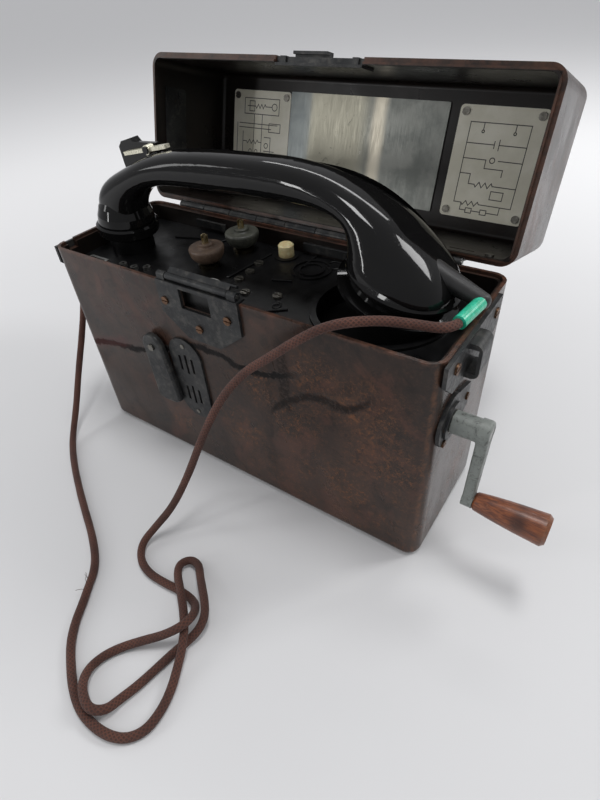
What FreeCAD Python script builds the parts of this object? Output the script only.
import FreeCAD, Part
import math
import os

# Portable crank field telephone in a hinged moulded case, lid open, handset lying across the panel.
# Millimetres. +X is the crank side, -Y the front, +Z up; the origin is the centre of the base.

V = FreeCAD.Vector
X_AXIS, Y_AXIS, Z_AXIS = V(1, 0, 0), V(0, 1, 0), V(0, 0, 1)

# ---- driving dimensions -------------------------------------------------------------------
CASE_L, CASE_D, CASE_H = 277.0, 95.0, 150.0
WALL = 4.0
CORNER_R = 9.0
BASE_R = 5.0
LID_H = 76.0
LID_EDGE_R = 8.0
LID_WALL = 3.8
CATCH_HALF = 30.5
LID_OPEN = 106.3
HINGE_Y, HINGE_Z = 49.5, 150.0
HINGE_PIN_R = 1.4
HINGE_HALF, HINGE_KNUCKLES = 110.0, 9
HINGE_SCREW_XS = tuple(-98.0 + k * 39.2 for k in range(6))
KNUCKLE_R = 2.8
LEAF_T = 1.5
PANEL_Z, PANEL_T = 137.0, 4.0
RUN_FIT = 0.05

WELL_X, WELL_Y, WELL_R = 84.0, 2.5, 40.0
WELL_FLOOR_Z = 126.0
LATCH_X = -6.0
LATCH_HALF = 31.0
LATCH_LEAN = 52.0
VENT_X, VENT_W, VENT_Z0, VENT_Z1 = -28.0, 27.5, 46.5, 111.5
SLOT_PITCH, SLOT_HALF = 5.3, 1.0
SHUTTER_X, SHUTTER_Z, SHUTTER_TILT = -53.0, 100.0, 4.0
SHUTTER_DROP, SHUTTER_TOP_R, SHUTTER_FOOT_HALF = 46.0, 9.0, 11.0
SHUTTER_STAND_OFF, SHUTTER_RIVET_R = 2.2, 1.3

CRANK_Y, CRANK_Z = -28.0, 105.0
CRANK_SHAFT_R = 4.0
SLEEVE_R, SLEEVE_END_X = 6.3, 155.5
CRANK_ARM_T, CRANK_RADIUS, CRANK_TILT = 6.0, 46.0, 6.0
GRIP_L, GRIP_R0, GRIP_R1 = 38.5, 5.2, 8.8
GEAR_MODULE, DRIVE_TEETH, PINION_TEETH = 0.8, 32, 8
GEAR_X, GEAR_W = 117.5, 5.0

CHASSIS_Z, CHASSIS_T = WALL, 1.5
MAGNET_W, MAGNET_OUT_R, MAGNET_BAR = 14.0, 24.0, 10.0
MAGNET_XS = (60.0, 77.0, 94.0)
PLATE_XS = (56.0, 112.0)
ROTOR_R = 10.0

GONG_R, GONG_XS, GONG_Z, GONG_Y = 20.0, (-53.0, -3.0), 80.0, -38.0
CLAPPER_X, CLAPPER_Z = -28.0, 46.0

TERMINALS = ((-40.5, -0.5), (-34.5, 28.5))
BUTTON_X, BUTTON_Y, BUTTON_R, BUTTON_TOP = -2.0, 33.5, 5.2, 146.0

HANDSET_AT = V(-111.0, -3.0, 150.0)
HANDSET_YAW = 2.2
EAR_TILT, EAR_R = 5.0, 21.0
MOUTH_X, MOUTH_Z, MOUTH_TILT, MOUTH_R = 206.0, 9.5, 17.4, 31.5

GROMMET_Y, GROMMET_Z = -18.0, 116.0
CORD_D = 5.0
CORD_R = CORD_D / 2
CORD_SLEEVE_R = 3.5

KEY_PIVOT, KEY_SLOPE = (33.5, 7.6, 54.0), 11.0
GRIP_SQUARENESS = 2.6
# Inner point, outer point (both in the handset's mid plane) and half width of each grip section.
GRIP_SECTIONS = [
    ((17, 13), (-13, 18), 14.5), ((19.5, 20), (-8.5, 29), 14.2), ((26, 27.5), (4, 38), 13.8),
    ((37, 33.8), (22, 46), 13.4), ((51, 37.4), (43, 53.5), 13.1), ((68, 38.6), (65, 57.4), 13.0),
    ((92, 39.2), (92, 59.2), 13.0), ((122, 40), (122, 60), 13.2), ((144, 40.2), (147, 58.8), 14.0),
    ((161, 40), (169, 54), 15.4), ((172, 38), (187, 46.8), 17.4), ((177, 33.5), (202.5, 38.4), 20.4),
    ((178.4, 28), (216, 27.6), 23.8), ((178.4, 23.6), (228, 15.4), 26.8), ((178.6, 19.6), (234.4, 4.2), 28.6)]

half_l, half_d = CASE_L / 2, CASE_D / 2
in_l, in_d = half_l - WALL, half_d - WALL
inner_corner = CORNER_R - WALL

# ---- helpers ------------------------------------------------------------------------------
def save(name, *solids):
    """Write one sub-part; several solids become a group of separate solids."""
    shape = solids[0] if len(solids) == 1 else Part.makeCompound(list(solids))
    shape.exportStep(f"parts/{name}.step")


def box(x0, x1, y0, y1, z0, z1):
    return Part.makeBox(x1 - x0, y1 - y0, z1 - z0, V(x0, y0, z0))


def rod(start, end, radius):
    axis = end - start
    return Part.makeCylinder(radius, axis.Length, start, axis)


def tube(start, end, outer, inner):
    return rod(start, end, outer).cut(rod(start, end, inner))


def rounded_outline(x0, x1, y0, y1, radius, z):
    """Closed rectangle with round corners in a horizontal plane."""
    k = radius * (1 - math.sqrt(0.5))
    edges = []
    sides = [((x0 + radius, y0), (x1 - radius, y0)), ((x1, y0 + radius), (x1, y1 - radius)),
             ((x1 - radius, y1), (x0 + radius, y1)), ((x0, y1 - radius), (x0, y0 + radius))]
    mids = [(x1 - k, y0 + k), (x1 - k, y1 - k), (x0 + k, y1 - k), (x0 + k, y0 + k)]
    for i, (start, end) in enumerate(sides):
        after = sides[(i + 1) % 4][0]
        edges.append(Part.LineSegment(V(*start, z), V(*end, z)).toShape())
        edges.append(Part.Arc(V(*end, z), V(*mids[i], z), V(*after, z)).toShape())
    return Part.Wire(edges)


def rounded_prism(x0, x1, y0, y1, z0, z1, radius):
    face = Part.Face(rounded_outline(x0, x1, y0, y1, radius, z0))
    return face.extrude(V(0, 0, z1 - z0))


def fillet_level(shape, z, radius):
    """Round every edge that lies at one height."""
    edges = [e for e in shape.Edges if abs(e.BoundBox.ZMin - z) < 1e-4 and abs(e.BoundBox.ZMax - z) < 1e-4]
    return shape.makeFillet(radius, edges)


def plate_from(points, direction):
    """Flat plate from a closed list of 3-D corners, extruded along direction."""
    return Part.Face(Part.makePolygon(list(points) + [points[0]])).extrude(direction)


def turned(profile, origin, axis=Z_AXIS, side=X_AXIS):
    """Solid of revolution from (radius, height) pairs about an axis through origin."""
    points = [origin + side * r + axis * h for r, h in profile]
    return Part.Face(Part.makePolygon(points + [points[0]])).revolve(origin, axis, 360)


def slotted_screw(centre, normal, head_r, head_h=1.4, shank=5.0):
    """Countersunk-style round head with a driver slot and a plain shank."""
    unit = V(normal)
    unit.normalize()
    across = unit.cross(Z_AXIS) if abs(unit.z) < 0.9 else X_AXIS
    along = unit.cross(across)
    head = rod(centre, centre + unit * head_h, head_r)
    shaft = rod(centre - unit * shank, centre + unit * 0.2, head_r * 0.45)
    corner = centre + unit * (head_h * 0.45) - across * (head_r * 1.2) - along * (head_r * 0.16)
    reach, width = across * (head_r * 2.4), along * (head_r * 0.32)
    sides = [corner, corner + reach, corner + reach + width, corner + width]
    return head.fuse(shaft).cut(plate_from(sides, unit * head_h))


def gear(teeth, module, x0, width, y, z, bore, phase=0.0):
    """Spur gear with trapezoid teeth and generous backlash, axis along X."""
    pitch = teeth * module / 2
    outer, root = pitch + 0.65 * module, pitch - 1.1 * module
    step = 2 * math.pi / teeth
    points = []
    for i in range(teeth):
        for radius, shift in ((root, -0.30), (outer, -0.12), (outer, 0.12), (root, 0.30)):
            a = phase + (i + shift) * step
            points.append(V(x0, y + radius * math.cos(a), z + radius * math.sin(a)))
    body = plate_from(points, V(width, 0, 0))
    return body.cut(rod(V(x0 - 1, y, z), V(x0 + width + 1, y, z), bore))


def open_lid(shape):
    """Swing a shape drawn with the lid closed to the open position."""
    moved = shape.copy()
    moved.rotate(V(0, HINGE_Y, HINGE_Z), X_AXIS, -LID_OPEN)
    return moved


def on_handset(shape):
    """Place a shape drawn in the handset's own frame (x along the grip, z up)."""
    moved = shape.copy()
    moved.rotate(V(0, 0, 0), Z_AXIS, HANDSET_YAW)
    moved.translate(HANDSET_AT)
    return moved


os.makedirs("parts", exist_ok=True)


def hinge_clearance():
    return rod(V(-HINGE_HALF - 1, HINGE_Y, HINGE_Z), V(HINGE_HALF + 1, HINGE_Y, HINGE_Z), KNUCKLE_R + 0.3)


# ---- case ---------------------------------------------------------------------------------
def case_shell():
    outer = rounded_prism(-half_l, half_l, -half_d, half_d, 0, CASE_H, CORNER_R)
    outer = fillet_level(outer, 0, BASE_R)
    shell = outer.cut(rounded_prism(-in_l, in_l, -in_d, in_d, WALL, CASE_H + 1, inner_corner))
    lip = 2.0
    rebate = rounded_prism(-in_l - lip, in_l + lip, -in_d - lip, in_d + lip, CASE_H - lip, CASE_H + 1,
                           inner_corner + lip)
    shell = shell.cut(rebate)
    shell = shell.cut(rod(V(in_l - 1, CRANK_Y, CRANK_Z), V(half_l + 1, CRANK_Y, CRANK_Z), 7.0))
    shell = shell.cut(rod(V(-half_l - 1, GROMMET_Y, GROMMET_Z), V(-in_l + 1, GROMMET_Y, GROMMET_Z), 4.5))
    shell = shell.cut(hinge_clearance())
    wire_notch = box(-half_l - 1, -in_l + 1, -38, -31, CASE_H - 6, CASE_H + 1)
    shell = shell.cut(wire_notch)
    pivot = V(SHUTTER_X, -half_d, SHUTTER_Z)
    shell = shell.fuse(rod(pivot + Y_AXIS, pivot - Y_AXIS * SHUTTER_STAND_OFF, 5.0))
    shell = shell.cut(rod(pivot + Y_AXIS * WALL, pivot - Y_AXIS * 5, SHUTTER_RIVET_R))
    latch_pocket = box(LATCH_X - 12, LATCH_X + 9, -half_d - 1, -half_d + 3, 137.5, 148)
    shell = shell.cut(latch_pocket)
    return shell.cut(sound_slots(-half_d - 1, -in_d + 1))


def sound_slots(y0, y1):
    """Two rows of three upright slots that let the bell be heard."""
    cutters = []
    for z0, z1 in ((84.0, 99.3), (58.4, 73.8)):
        for k in (-1, 0, 1):
            x, short = VENT_X + SLOT_PITCH * k, 1.8 * abs(k)
            cutters.append(box(x - SLOT_HALF, x + SLOT_HALF, y0, y1, z0 + short, z1 - short))
    return cutters


def instrument_panel():
    panel = rounded_prism(-in_l, in_l, -in_d, in_d, PANEL_Z - PANEL_T, PANEL_Z, inner_corner)
    panel = panel.cut(rod(V(WELL_X, WELL_Y, 100), V(WELL_X, WELL_Y, 150), WELL_R - 1))
    for x, y in TERMINALS:
        panel = panel.cut(rod(V(x, y, 120), V(x, y, 150), 3.0))
    panel = panel.cut(rod(V(BUTTON_X, BUTTON_Y, 120), V(BUTTON_X, BUTTON_Y, 150), 6.5))
    for ring_r in (13.0, 8.5):
        panel = panel.fuse(tube(V(24, 24, PANEL_Z - 1), V(24, 24, PANEL_Z + 1.2), ring_r, ring_r - 1.5))
    rest = V(HANDSET_AT.x, HANDSET_AT.y, 0)
    return panel.fuse(tube(rest + Z_AXIS * (PANEL_Z - 1), rest + Z_AXIS * (HANDSET_AT.z - 2.6), 15.0, 12.0))


def transmitter_well():
    profile = [(WELL_R - 4, PANEL_Z + 1.5), (WELL_R, PANEL_Z + 1.5), (WELL_R, PANEL_Z), (WELL_R - 1, PANEL_Z),
               (WELL_R - 3, WELL_FLOOR_Z - 2), (0, WELL_FLOOR_Z - 2), (0, WELL_FLOOR_Z), (WELL_R - 5,
                                                                                          WELL_FLOOR_Z)]
    return turned(profile, V(WELL_X, WELL_Y, 0))


def panel_details():
    save("instrument_panel", instrument_panel())
    save("transmitter_well", transmitter_well())
    screws = [slotted_screw(V(x, y, PANEL_Z), Z_AXIS, 3.0)
              for x, y in ((24, -13), (4, -18.5), (-10, -7), (-10, 4), (-12, 16), (44, 34), (-64, 20),
                           (-126, 32))]
    save("panel_screws", *screws)
    sockets = [turned([(1.2, 0), (2.6, 0), (2.6, 2.2), (1.2, 2.2)], V(x, y, PANEL_Z))
               for x, y in ((-94, -28), (-83, -28), (-75, -24))]
    frame = box(-126, -108, -36, -28, PANEL_Z, PANEL_Z + 1.6).cut(box(-124, -110, -34, -30, 130, 140))
    save("auxiliary_sockets", frame, *sockets)
    clips = [box(x0, x1, in_d - 2, in_d, 139.5, 144.5) for x0, x1 in ((-90, -62), (6, 44))]
    save("rear_wall_clips", *clips)


def line_terminals():
    posts, knobs = [], []
    for x, y in TERMINALS:
        base = V(x, y, 0)
        post = turned([(0, 122), (2.9, 122), (2.9, PANEL_Z), (7.2, PANEL_Z), (7.2, PANEL_Z + 2.2),
                       (4.6, PANEL_Z + 3.6), (2.2, PANEL_Z + 3.6), (2.2, 158), (0, 158)], base)
        slot = box(x - 0.6, x + 0.6, y - 5, y + 5, 154.5, 160)
        posts.append(post.cut(slot))
        z0 = PANEL_Z + 4.0
        bowl = [(2.25, z0), (7.0, z0), (9.4, z0 + 1.8), (10.9, z0 + 4.2), (11.5, z0 + 6.8), (11.5, z0 + 8.4),
                (11.1, z0 + 9.2), (10.4, z0 + 9.6), (5.6, z0 + 9.6), (5.0, z0 + 10.2), (5.0, z0 + 11.4),
                (4.4, z0 + 12.0), (2.25, z0 + 12.0)]
        knobs.append(turned(bowl, base))
    save("line_terminals", *posts)
    save("terminal_knob_front", knobs[0])
    save("terminal_knob_rear", knobs[1])


def push_button():
    at = V(BUTTON_X, BUTTON_Y, 0)
    bore = BUTTON_R + 0.1
    housing = turned([(0, 114), (6.5, 114), (6.5, PANEL_Z), (8.2, PANEL_Z), (8.2, PANEL_Z + 1.0),
                      (bore, PANEL_Z + 1.0), (bore, 116), (0, 116)], at)
    save("button_housing", housing)
    plunger = turned([(0, 130), (BUTTON_R, 130), (BUTTON_R, BUTTON_TOP - 1), (BUTTON_R - 1, BUTTON_TOP),
                      (0, BUTTON_TOP)], at)
    save("push_button", plunger)
    save("button_spring", tube(at + Z_AXIS * 116, at + Z_AXIS * 130, 3.6, 2.6))


# ---- latch, vent and strap fittings -------------------------------------------------------
def latch():
    y0, y1 = -half_d - 1.8, -half_d
    corners = [(-LATCH_HALF, CASE_H), (-LATCH_HALF, 130), (-13, 116), (13, 116), (LATCH_HALF, 130),
               (LATCH_HALF, CASE_H)]
    plate = plate_from([V(LATCH_X + x, y0, z) for x, z in corners], V(0, y1 - y0, 0))
    fold = box(LATCH_X - LATCH_HALF, LATCH_X + LATCH_HALF, y0, -half_d + 5, CASE_H, CASE_H + 1.5)
    plate = plate.fuse(fold).cut(box(LATCH_X - 13, LATCH_X + 10, y0 - 1, y1 + 1, 136.5, 149))
    pin_y, pin_z = -half_d + 1.2, CASE_H + 3.8
    lugs = []
    for side in (-1, 1):
        x0 = LATCH_X + side * 26.5 - 3.0
        lug = box(x0, x0 + 6, pin_y - 2.2, pin_y + 2.2, CASE_H + 1, pin_z)
        lug = lug.fuse(rod(V(x0, pin_y, pin_z), V(x0 + 6, pin_y, pin_z), 2.2))
        lugs.append(lug)
    bore = rod(V(LATCH_X - 40, pin_y, pin_z), V(LATCH_X + 40, pin_y, pin_z), 1.1)
    save("latch_plate", plate.fuse(lugs).cut(bore))
    save("latch_pin", rod(V(LATCH_X - 30, pin_y, pin_z), V(LATCH_X + 30, pin_y, pin_z), 1.1))
    x0, x1 = LATCH_X - 23, LATCH_X + 23
    barrel = rod(V(x0, pin_y, pin_z), V(x1, pin_y, pin_z), 2.1)
    blade = box(x0, x1, pin_y - 0.7, pin_y + 0.7, pin_z, pin_z + 5.4)
    lip = box(x0 + 1, x1 + 4, pin_y - 0.7, pin_y + 1.4, pin_z + 4.6, pin_z + 5.6)
    lever = barrel.fuse([blade, lip])
    lever.rotate(V(0, pin_y, pin_z), X_AXIS, -LATCH_LEAN)
    bore = rod(V(LATCH_X - 40, pin_y, pin_z), V(LATCH_X + 40, pin_y, pin_z), 1.1 + RUN_FIT)
    save("latch_lever", lever.cut(bore))


def capsule_plate(x, z0, z1, width, y0, y1):
    """Upright plate with round ends, in the XZ plane."""
    r = width / 2
    body = box(x - r, x + r, y0, y1, z0 + r, z1 - r)
    for z in (z0 + r, z1 - r):
        body = body.fuse(rod(V(x, y0, z), V(x, y1, z), r))
    return body.removeSplitter()


def shutter_blank(inset, y0, y1):
    """Drop-shaped plate with a round head on the pivot and a wider foot with cut corners."""
    top_r, foot, low = SHUTTER_TOP_R - inset, SHUTTER_FOOT_HALF - inset, SHUTTER_Z - SHUTTER_DROP + inset
    right = [(top_r, SHUTTER_Z), (foot, low + 7.0), (foot - 1.2, low + 2.6), (foot - 5.0, low)]
    left = [(-x, z) for x, z in reversed(right)]
    blade = plate_from([V(SHUTTER_X + x, y0, z) for x, z in right + left], V(0, y1 - y0, 0))
    head = rod(V(SHUTTER_X, y0, SHUTTER_Z), V(SHUTTER_X, y1, SHUTTER_Z), top_r)
    return blade.fuse(head).removeSplitter()


def vent():
    y0, y1 = -half_d - 1.6, -half_d
    plate = capsule_plate(VENT_X, VENT_Z0, VENT_Z1, VENT_W, y0, y1)
    plate = plate.cut(sound_slots(y0 - 1, y1 + 1))
    save("vent_plate", plate)
    gap = 0.3
    pivot = V(SHUTTER_X, -half_d, SHUTTER_Z)
    cover = shutter_blank(0.0, -half_d - 6.4, -half_d - SHUTTER_STAND_OFF - gap)
    cover = cover.makeFillet(2.0, [e for e in cover.Edges if e.BoundBox.YMax < -half_d - 6.3])
    hollow = shutter_blank(1.8, -half_d - 4.8, -half_d)
    hollow = hollow.cut(box(SHUTTER_X - 20, SHUTTER_X + 20, -half_d - 10, 0, SHUTTER_Z - 8.5, SHUTTER_Z + 20))
    cover = cover.cut(hollow).cut(rod(pivot + Y_AXIS, pivot - Y_AXIS * 9, SHUTTER_RIVET_R + RUN_FIT))
    cover.rotate(pivot, Y_AXIS, -SHUTTER_TILT)
    save("vent_shutter", cover)
    rivet = rod(pivot + Y_AXIS * WALL, pivot - Y_AXIS * 6.7, SHUTTER_RIVET_R)
    rivet = rivet.fuse(rod(pivot - Y_AXIS * 6.7, pivot - Y_AXIS * 7.6, 2.4))
    plate_rivets = [rod(V(VENT_X, -in_d, z), V(VENT_X, -half_d - 2.1, z), 1.6)
                    for z in (VENT_Z0 + 4.5, VENT_Z1 - 5.5)]
    save("vent_rivets", rivet, *plate_rivets)


def strap_bracket(side):
    """Plate and arched lug that a carrying strap hooks through; side is +1 right or -1 left."""
    x = half_l
    corners = [(-45, 148.5), (-45, 137), (-34, 127), (14, 124), (29, 131), (29, 148.5)]
    plate = plate_from([V(x, y, z) for y, z in corners], V(2, 0, 0))
    lug = box(x + 2, x + 8.6, -18, -3, 126, 146)
    lug = lug.makeFillet(4.0, [e for e in lug.Edges if e.BoundBox.XMin > x + 8 and e.BoundBox.YLength > 10])
    lug = lug.cut(box(x + 2, x + 6.8, -19, -2, 129, 143))
    bracket = plate.fuse(lug)
    bracket = bracket.cut([rod(V(x - 1, y, 141), V(x + 3, y, 141), 1.4) for y in (-33, 22)])
    if side < 0:
        bracket = bracket.mirror(V(0, 0, 0), X_AXIS)
    return bracket


def crank_escutcheon():
    x = half_l
    centre = V(x, CRANK_Y, CRANK_Z)
    plate = rod(centre, centre + X_AXIS * 2, 15.0)
    tail = plate_from([V(x, CRANK_Y + 3, CRANK_Z + 14.4), V(x, -2, 112), V(x, -2, 97),
                       V(x, CRANK_Y + 3, CRANK_Z - 14.4)], V(2, 0, 0))
    boss = rod(centre, centre + X_AXIS * 3.4, 10.5)
    plate = plate.fuse([tail, boss])
    plate = plate.cut([rod(V(x - 1, y, z), V(x + 6, y, z), 1.4) for y, z in ((-6, 105), (-35, 94))])
    return plate.cut(rod(centre - X_AXIS * 2, centre + X_AXIS * 8, 7.0)).removeSplitter()


def side_fittings():
    save("strap_brackets", strap_bracket(1), strap_bracket(-1))
    save("crank_escutcheon", crank_escutcheon())
    screws = [slotted_screw(V(LATCH_X + x, -half_d - 1.8, z), V(0, -1, 0), 2.6, 1.0)
              for x, z in ((-26, 138.5), (22.5, 138.5), (-1.5, 125.5))]
    for side in (-1, 1):
        screws += [slotted_screw(V(side * (half_l + 2), y, 141), V(side, 0, 0), 3.0, 1.0) for y in (-33, 22)]
    screws += [slotted_screw(V(half_l + 2, y, z), X_AXIS, 2.2, 1.0) for y, z in ((-6, 105), (-35, 94))]
    screws += [slotted_screw(V(x, half_d + LEAF_T, 136), Y_AXIS, 2.4, 0.9) for x in HINGE_SCREW_XS]
    save("case_screws", *screws)
    profile = [(3.4, 0), (6.6, 0), (6.6, 2.6), (4.4, 2.6), (4.4, 7.2), (6.2, 7.2), (6.2, 9.2), (3.4, 9.2)]
    grommet = turned(profile, V(-half_l - 2.6, GROMMET_Y, GROMMET_Z), X_AXIS, Z_AXIS)
    save("cord_grommet", grommet.fuse(grommet_plug()))


def grommet_plug():
    """Neck of the grommet that grips the cord, closed inside the wall."""
    return rod(V(-half_l - 2.6, GROMMET_Y, GROMMET_Z), V(-in_l + 2.6, GROMMET_Y, GROMMET_Z), 3.4)


# ---- crank and generator ------------------------------------------------------------------
def crank():
    axis = lambda x: V(x, CRANK_Y, CRANK_Z)
    save("crank_bearing", tube(axis(124), axis(half_l + 3.2), 7.0, CRANK_SHAFT_R + RUN_FIT))
    arm_x0, arm_x1 = SLEEVE_END_X, SLEEVE_END_X + CRANK_ARM_T
    save("crank_shaft", rod(axis(115), axis(arm_x1 - 0.2), CRANK_SHAFT_R))
    save("crank_sleeve", tube(axis(half_l + 3.7), axis(arm_x0), SLEEVE_R, CRANK_SHAFT_R))
    save("drive_gear", gear(DRIVE_TEETH, GEAR_MODULE, GEAR_X, GEAR_W, CRANK_Y, CRANK_Z, CRANK_SHAFT_R))
    lean = math.radians(CRANK_TILT)
    down = V(0, -math.sin(lean), -math.cos(lean))
    cross = V(0, math.cos(lean), -math.sin(lean))
    hub, tip = axis(arm_x0), axis(arm_x0) + down * CRANK_RADIUS
    bar = plate_from([hub + cross * 4.9, tip + cross * 4.0, tip - cross * 4.0, hub - cross * 4.9],
                     X_AXIS * CRANK_ARM_T)
    bar = bar.makeFillet(1.4, [e for e in bar.Edges if e.Length > CRANK_RADIUS - 1])
    knuckle = rod(hub, hub + X_AXIS * CRANK_ARM_T, 6.9)
    outer_face = hub.x + CRANK_ARM_T
    knuckle = knuckle.makeFillet(1.8, [e for e in knuckle.Edges if e.BoundBox.XMin > outer_face - 0.1])
    foot = rod(tip, tip + X_AXIS * CRANK_ARM_T, 4.8)
    arm = bar.fuse([knuckle, foot])
    arm = arm.cut([rod(hub - X_AXIS, hub + X_AXIS * 9, CRANK_SHAFT_R),
                   rod(tip - X_AXIS, tip + X_AXIS * 9, 2.2)])
    save("crank_arm", arm.removeSplitter())
    pin_end = tip + X_AXIS * (CRANK_ARM_T + 0.3 + GRIP_L - 0.2)
    pin = rod(tip, pin_end, 2.2).fuse(rod(pin_end - X_AXIS * 1.5, pin_end, 4.2))
    save("handle_pin", pin)
    start = tip + X_AXIS * (CRANK_ARM_T + 0.3)
    grow = (GRIP_R1 - GRIP_R0) / GRIP_L
    bore = 2.2 + RUN_FIT
    profile = [(bore, 0), (GRIP_R0 - 0.8, 0), (GRIP_R0, 1.0)]
    profile += [(GRIP_R0 + grow * h + 0.5 * math.sin(math.pi * h / GRIP_L), h) for h in (8, 16, 24, 31)]
    profile += [(GRIP_R1, GRIP_L - 2.0), (GRIP_R1 - 1.6, GRIP_L), (4.6, GRIP_L), (4.6, GRIP_L - 2.2),
                (bore, GRIP_L - 2.2)]
    save("crank_handle", turned(profile, start, X_AXIS, Z_AXIS))


def rotor_axis():
    offset = GEAR_MODULE * (DRIVE_TEETH + PINION_TEETH) / 2 * math.sqrt(0.5)
    return CRANK_Y + offset, CRANK_Z - offset


def generator():
    ry, rz = rotor_axis()
    on_axis = lambda x: V(x, ry, rz)
    core = rod(on_axis(62), on_axis(106), ROTOR_R)
    for side in (-1, 1):
        core = core.cut(box(66, 102, ry + side * 7.5 - 2.5, ry + side * 7.5 + 2.5, rz - 12, rz + 12))
    winding = box(64, 104, ry - 6, ry + 6, rz - 6.5, rz + 6.5)
    shaft = rod(on_axis(52), on_axis(GEAR_X - 0.2), 2.0)
    save("rotor_armature", core.fuse([winding, shaft]))
    phase = math.radians(-45.0)
    half_tooth = math.pi / PINION_TEETH
    pinion = gear(PINION_TEETH, GEAR_MODULE, GEAR_X - 0.2, GEAR_W + 0.6, ry, rz, 1.0,
                  phase + math.pi + half_tooth)
    stub = rod(on_axis(GEAR_X - 0.2), on_axis(GEAR_X + GEAR_W + 1.4), 1.0)
    save("rotor_pinion", pinion.fuse(stub))
    bend_z = rz - 24
    magnets = []
    for x in MAGNET_XS:
        outer = box(x, x + MAGNET_W, ry - MAGNET_OUT_R, ry + MAGNET_OUT_R, bend_z, rz + 14)
        outer = outer.fuse(rod(V(x, ry, bend_z), V(x + MAGNET_W, ry, bend_z), MAGNET_OUT_R))
        inner_r = MAGNET_OUT_R - MAGNET_BAR
        inner = box(x - 1, x + MAGNET_W + 1, ry - inner_r, ry + inner_r, bend_z, rz + 15)
        inner = inner.fuse(rod(V(x - 1, ry, bend_z), V(x + MAGNET_W + 1, ry, bend_z), inner_r))
        magnets.append(outer.cut(inner))
    save("generator_magnets", *magnets)
    top = CHASSIS_Z + CHASSIS_T
    frame = box(PLATE_XS[0], PLATE_XS[1] + 2, ry - 18, ry + 18, top, top + 2.5)
    for x in PLATE_XS:
        frame = frame.fuse(box(x, x + 2, ry - 20, ry + 22, top, rz + 12))
    for dy in (-9, 9):
        frame = frame.fuse(rod(V(PLATE_XS[0], ry + dy, 30), V(PLATE_XS[1] + 1, ry + dy, 30), 2.5))
    frame = frame.fuse(box(PLATE_XS[0], PLATE_XS[1], ry - 12, ry + 12, 32, bend_z - MAGNET_OUT_R + 1.2))
    frame = frame.cut(magnets).cut(rod(on_axis(PLATE_XS[0] - 1), on_axis(PLATE_XS[1] + 3), 2.0 + RUN_FIT))
    save("generator_frame", frame)


def chassis():
    save("chassis_plate", rounded_prism(-76, 130, -40, 40, CHASSIS_Z, CHASSIS_Z + CHASSIS_T, 4))


# ---- ringer and the other works below the panel -------------------------------------------
def ringer():
    top = CHASSIS_Z + CHASSIS_T
    back = -20.0
    frame = box(-66, 10, back, back + 2, top, 96).fuse(box(-66, 10, back, 2, top, top + 2))
    frame = frame.fuse(rod(V(CLAPPER_X, back, CLAPPER_Z), V(CLAPPER_X, -34, CLAPPER_Z), 1.5))
    for x in GONG_XS:
        frame = frame.fuse(rod(V(x, back, GONG_Z), V(x, GONG_Y + 1.6, GONG_Z), 2.0))
    save("ringer_frame", frame)
    dome = [(0, 0), (7, 0.2), (13, 1.2), (17.5, 3.6), (19.4, 6.4), (GONG_R, 10), (GONG_R - 1.6, 10),
            (18.0, 7.2),
            (16.4, 5.0), (12.4, 2.9), (7, 1.8), (0, 1.6)]
    gongs = [turned(dome, V(x, GONG_Y, GONG_Z), Y_AXIS, X_AXIS) for x in GONG_XS]
    save("bell_gongs", *gongs)
    coils = []
    for x in (CLAPPER_X - 12, CLAPPER_X + 12):
        at = V(x, -28.2, 0)
        coils.append(turned([(0, top), (8, top), (8, top + 2), (7.2, top + 2), (7.2, 40), (8, 40), (8, 42),
                             (3, 42),
                             (3, 43), (0, 43)], at))
    save("ringer_coils", *coils)
    bar = box(CLAPPER_X - 14, CLAPPER_X + 14, -32, -24, 44.2, 48.2)
    bar = bar.fuse(rod(V(CLAPPER_X, -32, CLAPPER_Z), V(CLAPPER_X, -24, CLAPPER_Z), 3.4))
    stem = rod(V(CLAPPER_X, -30, 47), V(CLAPPER_X, -30, GONG_Z), 1.2)
    ball = Part.makeSphere(3.0, V(CLAPPER_X, -30, GONG_Z))
    clapper = bar.fuse([stem, ball]).cut(rod(V(CLAPPER_X, -40, CLAPPER_Z), V(CLAPPER_X, -20, CLAPPER_Z),
                                             1.5 + RUN_FIT))
    save("bell_clapper", clapper)


def works():
    top = CHASSIS_Z + CHASSIS_T
    at = V(-52, 24, top + 13)
    save("induction_coil", turned([(0, 0), (13, 0), (13, 3), (10.5, 3), (10.5, 57), (13, 57), (13, 60),
                                   (0, 60)], at,
                                  X_AXIS, Z_AXIS))
    save("capacitor", rounded_prism(16, 48, 12, 40, top, 58, 2))
    save("dry_battery", rounded_prism(-132, -80, -40, 40, WALL, 104, 3))


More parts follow.
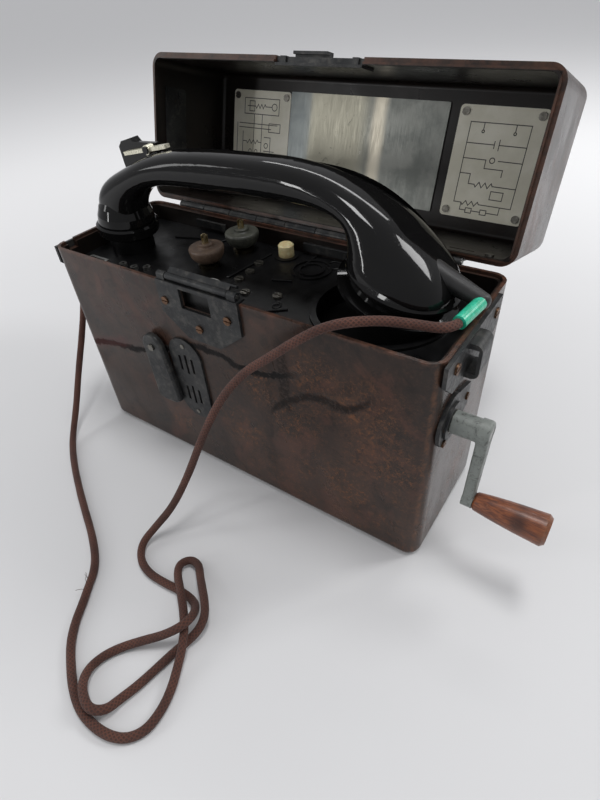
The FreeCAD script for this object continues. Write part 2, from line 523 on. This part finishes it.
# ---- lid ----------------------------------------------------------------------------------
def lid():
    z0, z1 = CASE_H + 0.5, CASE_H + 0.5 + LID_H
    outer = rounded_prism(-half_l, half_l, -half_d, half_d, z0, z1, CORNER_R)
    outer = fillet_level(outer, z1, LID_EDGE_R)
    cavity = rounded_prism(-half_l + LID_WALL, half_l - LID_WALL, -half_d + LID_WALL, half_d - LID_WALL,
                           z0 - 1,
                           z1 - LID_WALL, CORNER_R - LID_WALL)
    shell = outer.cut(fillet_level(cavity, z1 - LID_WALL, 3.0))
    out, inn = 2.3, 3.6
    tongue = rounded_prism(-half_l + out, half_l - out, -half_d + out, half_d - out, z0 - 1.6, z0 + 0.2,
                           CORNER_R - out)
    tongue = tongue.cut(rounded_prism(-half_l + inn, half_l - inn, -half_d + inn, half_d - inn, z0 - 2,
                                      z0 + 1,
                                      CORNER_R - inn))
    shell = shell.fuse(tongue)
    shell = shell.cut(box(-CATCH_HALF, CATCH_HALF, -half_d - 1, -half_d + LID_WALL + 0.2, z0 - 3, z0 + 8))
    shell = shell.cut(hinge_clearance())
    shell = shell.cut(box(98, 113, half_d - LID_WALL - 0.1, half_d - LID_WALL + 1.2, z0 + 8, z0 + 10))
    save("lid_shell", open_lid(shell))

    face = -half_d + LID_WALL
    edge = CATCH_HALF - 0.5
    base = box(-edge, edge, face, face + 1.5, z0 - 1, z0 + 14)
    shelf = box(-edge, edge, -half_d + 0.6, face + 0.5, z0 + 1.2, z0 + 3)
    x0, x1 = LATCH_X - 12, LATCH_X + 12
    hook = box(x0, x1, -half_d - 2.4, face + 0.5, z0 + 3, z0 + 7.4)
    hook = hook.fuse(box(x0, x1, -half_d - 2.4, -half_d - 0.8, z0 + 0.4, z0 + 7.4))
    ears = [box(x - 2, x + 2, -half_d + 0.2, face + 0.5, z0, z0 + 6.5) for x in (-25, 25)]
    save("lid_catch", open_lid(base.fuse([shelf, hook] + ears)))

    floor_z = z1 - LID_WALL
    spans = ((-122.0, -66.5), (66.5, 121.5))
    cards = [open_lid(rounded_prism(x0, x1, -33.5, 33.5, floor_z - 1, floor_z, 2.5)) for x0, x1 in spans]
    save("diagram_plates", *cards)
    sheet = rounded_prism(-66.0, 59.5, -34, 33, floor_z - 1.2, floor_z, 1.0)
    save("lid_metal_sheet", open_lid(sheet))
    screws = [slotted_screw(V(x, y, floor_z - 1), V(0, 0, -1), 2.4, 1.1, 3.0)
              for x0, x1 in spans for x in (x0 + 4, x1 - 4) for y in (-29.5, 29.5)]
    screws.append(slotted_screw(V(123, half_d - LID_WALL, z0 + 4), V(0, -1, 0), 2.6, 1.2, 3.0))
    screws += [slotted_screw(V(x, half_d + LEAF_T, HINGE_Z + 14), Y_AXIS, 2.4, 0.9,
                             3.0) for x in HINGE_SCREW_XS]
    save("lid_screws", *[open_lid(s) for s in screws])
    side_x = -half_l + LID_WALL
    side = box(side_x, side_x + 1.4, -27.5, 16, z0 + 8, z0 + 27.5)
    side = side.makeFillet(3, [e for e in side.Edges if e.BoundBox.YMax < -27 and e.BoundBox.XLength > 1
                               and e.BoundBox.ZMin > z0 + 20])
    rivet = rod(V(side_x, -23.5, z0 + 21), V(side_x + 2.6, -23.5, z0 + 21), 2.0)
    save("lid_side_plate", open_lid(side.fuse(rivet)))


def hinge():
    """Full-width butt hinge on the back: knuckles alternate between case leaf and lid leaf."""
    slit = 0.6
    step = 2 * HINGE_HALF / HINGE_KNUCKLES
    case_leaf = box(-HINGE_HALF, HINGE_HALF, half_d, half_d + LEAF_T, 126, HINGE_Z - 3.2)
    lid_leaf = box(-HINGE_HALF, HINGE_HALF, half_d, half_d + LEAF_T, HINGE_Z + 3.2, HINGE_Z + 24)
    for i in range(HINGE_KNUCKLES):
        x0 = -HINGE_HALF + i * step + slit / 2
        x1 = x0 + step - slit
        knuckle = rod(V(x0, HINGE_Y, HINGE_Z), V(x1, HINGE_Y, HINGE_Z), KNUCKLE_R)
        if i % 2 == 0:
            case_leaf = case_leaf.fuse([knuckle, box(x0, x1, half_d, half_d + LEAF_T, HINGE_Z - 4, HINGE_Z)])
        else:
            lid_leaf = lid_leaf.fuse([knuckle, box(x0, x1, half_d, half_d + LEAF_T, HINGE_Z, HINGE_Z + 4)])
    ends = (V(-HINGE_HALF - 1, HINGE_Y, HINGE_Z), V(HINGE_HALF + 1, HINGE_Y, HINGE_Z))
    save("hinge_case_leaf", case_leaf.cut(rod(*ends, HINGE_PIN_R)))
    save("hinge_pin", rod(ends[0] + X_AXIS * 0.4, ends[1] - X_AXIS * 0.4, HINGE_PIN_R))
    save("hinge_lid_leaf", open_lid(lid_leaf.cut(rod(*ends, HINGE_PIN_R + RUN_FIT))))


# ---- handset ------------------------------------------------------------------------------
def tilted_frame(x, z, tilt):
    """Base point and the unit axis that leans towards +X by tilt degrees."""
    lean = math.radians(tilt)
    return V(x, 0, z), V(math.sin(lean), 0, math.cos(lean)), V(math.cos(lean), 0, -math.sin(lean))


def grip_section(inner, outer, half_wide):
    """Rounded-square wire across the grip, from its inner to its outer point in the mid plane."""
    count, power = 24, 2.0 / GRIP_SQUARENESS
    low, high = V(inner[0], 0, inner[1]), V(outer[0], 0, outer[1])
    centre, reach = (low + high) * 0.5, (high - low) * 0.5
    points = []
    for i in range(count):
        turn = math.pi / 2 + 2 * math.pi * i / count
        c, s = math.cos(turn), math.sin(turn)
        points.append(centre + reach * math.copysign(abs(c) ** power, c)
                      + Y_AXIS * (half_wide * math.copysign(abs(s) ** power, s)))
    along = low - high
    along.normalize()
    curve = Part.BSplineCurve()
    curve.interpolate(Points=points + [points[0]], InitialTangent=along, FinalTangent=along)
    return Part.Wire([curve.toShape()])


def handset():
    ear_at, ear_up, ear_side = tilted_frame(0, 0, EAR_TILT)
    mouth_at, mouth_up, mouth_side = tilted_frame(MOUTH_X, MOUTH_Z, MOUTH_TILT)

    ear = turned([(0, 7.2), (EAR_R - 2.2, 7.2), (EAR_R - 1.8, 8.4), (EAR_R - 2.6, 13), (EAR_R - 4.6, 18.5),
                  (EAR_R - 8.0, 24), (8, 28), (0, 29)], ear_at, ear_up, ear_side)
    flare = turned([(0, 0), (MOUTH_R, 0), (MOUTH_R, 1.4), (MOUTH_R - 1.2, 2.4), (MOUTH_R - 3.0, 3.4),
                    (0, 3.6)],
                   mouth_at, mouth_up, mouth_side)
    sections = [grip_section(*s) for s in GRIP_SECTIONS]
    body = Part.makeLoft(sections, True, False).fuse([ear, flare])
    body = body.cut(rod(ear_at + ear_up * 7.0, ear_at + ear_up * 18.0, EAR_R - 6.5))
    mouth_cavity = rod(mouth_at - mouth_up * 8.0, mouth_at + mouth_up * 10.0, MOUTH_R - 8.5)
    body = body.cut(mouth_cavity)
    sleeve_at = V(247.6, -2.0, 6.0)
    neck_at = V(220.0, 0.5, 15.5)
    neck = Part.makeCone(6.4, 4.3, (sleeve_at - neck_at).Length, neck_at, sleeve_at - neck_at)
    neck = neck.fuse(Part.makeSphere(4.3, sleeve_at))
    neck = neck.cut(mouth_cavity)
    body = body.cut(neck)
    save("handset_body", on_handset(body))
    sleeve = rod(*[V(*p) for p in SLEEVE_ROUTE], CORD_SLEEVE_R)
    save("cord_relief", on_handset(neck).cut(sleeve))
    save("cord_sleeve", sleeve)

    cap = turned([(0, 2.0), (7.5, 2.0), (7.5, 0.6), (EAR_R - 3, 0), (EAR_R - 0.6, 0), (EAR_R, 0.8), (EAR_R, 6.0),
                  (EAR_R - 1.4, 7.2), (EAR_R - 3.4, 7.2), (EAR_R - 3.4, 3.6), (0, 3.6)],
                 ear_at, ear_up, ear_side)
    for k in range(6):
        turn = k * math.pi / 3
        spot = ear_at + ear_side * (4.6 * math.cos(turn)) + Y_AXIS * (4.6 * math.sin(turn))
        cap = cap.cut(rod(spot - ear_up, spot + ear_up * 5, 0.9))
    save("receiver_cap", on_handset(cap))
    save("receiver_capsule", on_handset(rod(ear_at + ear_up * 7.2, ear_at + ear_up * 17.5, EAR_R - 7.0)))

    low = -13.5
    cap = turned([(0, low + 1.6), (MOUTH_R - 13, low + 1.6), (MOUTH_R - 9, low), (MOUTH_R - 3.5, low),
                  (MOUTH_R + 2.0, low + 3.4), (MOUTH_R + 2.0, low + 5.6), (MOUTH_R - 3.6, low + 7.5),
                  (MOUTH_R - 3.6, 0), (MOUTH_R - 6.2, 0), (MOUTH_R - 6.2, low + 4.4), (0, low + 3.6)],
                 mouth_at, mouth_up, mouth_side)
    for k in range(8):
        turn = k * math.pi / 4
        spot = mouth_at + mouth_side * (11 * math.cos(turn)) + Y_AXIS * (11 * math.sin(turn))
        cap = cap.cut(rod(spot + mouth_up * (low - 1), spot + mouth_up * (low + 5), 1.6))
    save("transmitter_cap", on_handset(cap))
    save("transmitter_capsule", on_handset(rod(mouth_at - mouth_up * 7.5, mouth_at + mouth_up * 9.0,
                                               MOUTH_R - 9.0)))
    talk_key(body)


def talk_key(body):
    """Black block on the back of the receiver end with a brass key rocking on it."""
    outline = ((5, 30), (3, 52), (6, 55.5), (15, 58), (19, 54), (19, 36))
    block = plate_from([V(x, 8.0, z) for x, z in outline], V(0, 7.0, 0))
    lean = math.radians(KEY_SLOPE)
    along, above = V(math.cos(lean), 0, math.sin(lean)), V(-math.sin(lean), 0, math.cos(lean))
    pivot = V(*KEY_PIVOT)
    left, right = pivot - along * 22.0, pivot + along * 16.0
    bar = plate_from([left - above * 1.1, right - above * 1.1, right + above * 1.1, left + above * 1.1],
                     V(0, -4.5, 0))
    bar = bar.fuse(rod(pivot, pivot - Y_AXIS * 5.2, 2.8))
    bar = bar.cut(rod(pivot + Y_AXIS, pivot - Y_AXIS * 7, 1.2 + RUN_FIT))
    stud = rod(pivot - Y_AXIS * 6.2, pivot + Y_AXIS * 1.5, 1.2)
    block = block.fuse([stud, rod(pivot - Y_AXIS * 6.2, pivot - Y_AXIS * 5.5, 2.2)])
    arm = plate_from([V(14, 8.0, 44), V(14, 8.0, 56), pivot + V(3, 0.4, 3), pivot + V(3, 0.4, -4)],
                     V(0, 3.0, 0))
    block = block.fuse(arm)
    save("talk_key_bracket", on_handset(block.cut(body)))
    save("talk_key", on_handset(bar))


# ---- cord ---------------------------------------------------------------------------------
# From the strain relief over the right rim, across the front rim, down to the table, through a twisted
# loop and back up to the grommet in the left wall.
SLEEVE_ROUTE = [(136.6, 4.6, 156.0), (133.8, -18.0, 155.4)]
CORD_ROUTE = [
    (133.72, -18.6, 155.38), (132.7, -22.6, 155.6), (128, -28, 156.3), (118, -31.5, 157.4),
    (102, -38.5, 158.9), (84, -51, 158), (69, -57.5, 148), (53, -61, 134), (38, -65, 122), (23, -72, 102),
    (11, -82, 74), (3.5, -94, 47), (-3.5, -108, 25), (-12.5, -120, 10.5), (-15.5, -131, 4.2),
    (-8.5, -139.5, 2.8), (3, -143.5, 2.7), (16, -143, 2.7), (28, -141.5, 2.7), (38, -141.5, 3),
    (46, -144.5, 6.5), (51, -151, 11.5), (51.5, -160, 15), (44, -168, 10.5), (33, -175.5, 4.8),
    (24.5, -184, 2.7), (19.5, -193, 2.7), (18.6, -201, 3.6), (22, -207.5, 5.5), (29, -212, 8),
    (38, -215, 8.6), (44.5, -210.5, 6.5), (45, -202.5, 3.2), (48, -192, 2.7), (50, -180, 2.7),
    (52, -169, 2.7), (54.5, -161, 3.4), (57, -154, 6.8), (56, -147, 10), (50, -140.5, 11),
    (42, -134.5, 9), (33.5, -128, 5.5), (27.5, -122.8, 4.2), (20, -122.5, 3.6), (16.5, -129, 4.2),
    (21.5, -135.5, 5.6), (31, -142, 8.4), (41.5, -150, 8.6), (50.5, -158.5, 8.6), (56.5, -166.5, 8.4),
    (60.5, -175.5, 5), (64.5, -185, 2.7), (67.2, -195.5, 2.7), (67, -205.5, 2.7), (61.5, -213, 2.7),
    (53, -217, 2.7), (42, -218.4, 2.7), (30.5, -217.2, 2.7), (19, -212.8, 2.7), (6.5, -204.8, 2.7),
    (-3, -197.5, 2.7), (-10.8, -188, 2.7), (-16.2, -178.6, 2.7), (-22, -170, 2.7), (-26.5, -162.5, 2.7),
    (-35, -154, 2.7), (-52, -143.5, 2.7), (-72, -133.5, 2.7), (-93, -122.5, 2.7), (-115, -110, 2.7),
    (-134, -97.5, 2.7), (-144, -87, 7), (-150, -74, 20), (-153, -59.5, 44), (-158, -42, 68),
    (-163, -28, 88), (-166, -20, 104), (-155.5, -18, 116), (-141.1, -18, 116)]
ROUND_SHARE = 0.45


def cord_path(route):
    """Straight runs joined by tangent arcs, each as large as its two runs allow."""
    points = [V(*p) for p in route]
    edges, radii, at = [], [], points[0]
    for before, corner, after in zip(points, points[1:], points[2:]):
        into, out = corner - before, after - corner
        short = min(into.Length, out.Length)
        into.normalize()
        out.normalize()
        turn = into.getAngle(out)
        trim = ROUND_SHARE * short
        radius = trim / math.tan(turn / 2)
        start, end = corner - into * trim, corner + out * trim
        bisector = out - into
        bisector.normalize()
        centre = corner + bisector * (radius / math.cos(turn / 2))
        middle = centre - bisector * radius
        edges.append(Part.LineSegment(at, start).toShape())
        edges.append(Part.Arc(start, middle, end).toShape())
        radii.append(radius)
        at = end
    edges.append(Part.LineSegment(at, points[-1]).toShape())
    return Part.Wire(edges), radii


def swept(route, radius, label):
    path, radii = cord_path(route)
    start, second = V(*route[0]), V(*route[1])
    circle = Part.Wire([Part.Circle(start, second - start, radius).toShape()])
    solid = path.makePipeShell([circle], True, False)
    expected = math.pi * radius ** 2 * path.Length
    print(f"{label}: length {path.Length:.1f}, radii " + " ".join(f"{r:.0f}" for r in radii))
    print(f"{label}: volume {solid.Volume:.0f} of {expected:.0f}, lowest {solid.BoundBox.ZMin:.2f}, "
          f"valid {solid.isValid()}")
    return solid


def cord():
    save("handset_cord", swept(CORD_ROUTE, CORD_R, "cord"))


save("case_shell", case_shell())
panel_details()
line_terminals()
push_button()
latch()
vent()
side_fittings()
crank()
chassis()
generator()
ringer()
works()
lid()
hinge()
handset()
cord()
